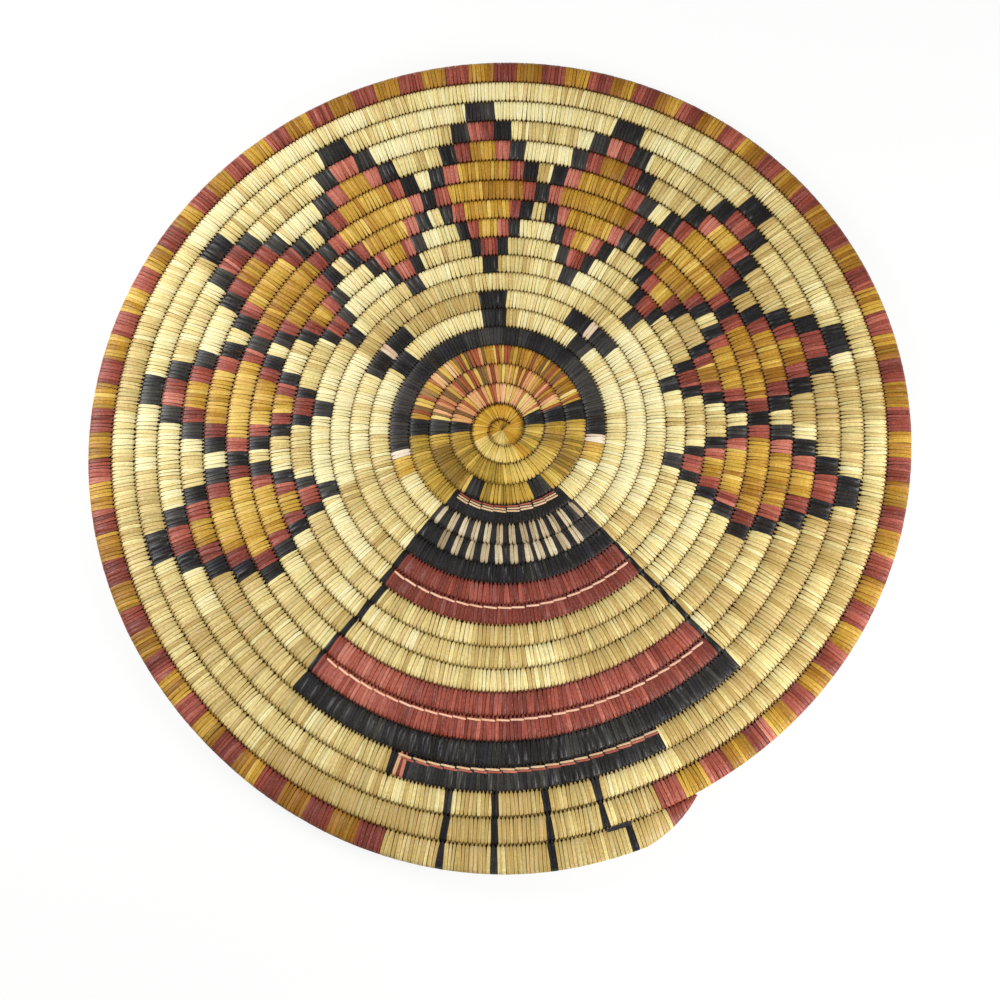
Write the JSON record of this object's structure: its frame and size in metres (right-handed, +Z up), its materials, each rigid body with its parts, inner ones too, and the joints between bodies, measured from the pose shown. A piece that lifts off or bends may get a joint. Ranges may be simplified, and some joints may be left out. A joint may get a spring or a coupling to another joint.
{
  "type": "coiled plaque",
  "caption": "Round flat basketry plaque of one stitched spiral coil, patterned with dyed splints, to hang on a wall or lie on a table.",
  "frame": {"origin": "middle of the plaque's outline, on the level underside that it rests on", "axes": "+Z up out of the decorated face, +Y towards the top of the figure's head, +X to the figure's side that lies right in the picture"},
  "size_m": [0.4102, 0.4176, 0.0124],
  "materials": {
    "natural_splint": "dry leaf splint, satin",
    "cream_splint": "dry leaf splint, satin",
    "ochre_splint": "dyed leaf splint, satin",
    "red_splint": "dyed leaf splint, satin",
    "black_splint": "dyed leaf splint, satin",
    "grass_bundle": "dry grass stems, matt"
  },
  "bodies": {
    "root": {"cape_black_row_06": "black_splint", "cape_check_row_04": "cream_splint", "cape_check_row_05": "cream_splint", "cape_red_row_07": "red_splint", "cape_red_row_08": "red_splint", "cape_strip_cream": "cream_splint", "coil_end_tip": "red_splint", "face_edge_left": "natural_splint", "face_edge_right": "natural_splint", "face_ochre_row_01": "ochre_splint", "face_ochre_row_02": "ochre_splint", "face_ochre_row_03": "ochre_splint", "face_ring_black": "black_splint", "field_row_05": "natural_splint", "field_row_06": "natural_splint", "field_row_07": "natural_splint", "field_row_08": "natural_splint", "field_row_09": "natural_splint", "field_row_10": "natural_splint", "field_row_11": "natural_splint", "field_row_12": "natural_splint", "field_row_13": "natural_splint", "field_row_14": "natural_splint", "field_row_15": "natural_splint", "field_row_16": "natural_splint", "field_row_17": "natural_splint", "foundation_bundle": "grass_bundle", "hem_black_row_15": "black_splint", "hem_strip_cream": "cream_splint", "hem_strip_red": "red_splint", "neck_black_row_03": "black_splint", "neck_strip_cream": "cream_splint", "neck_strip_red": "red_splint", "rim_natural_tail": "natural_splint", "rim_tick_row": "red_splint", "robe_black_row_14": "black_splint", "robe_natural_row_09": "natural_splint", "robe_natural_row_10": "natural_splint", "robe_natural_row_11": "natural_splint", "robe_red_row_12": "red_splint", "robe_red_row_13": "red_splint", "robe_strip_cream": "cream_splint", "start_coil": "ochre_splint"}
  },
  "joints": []
}
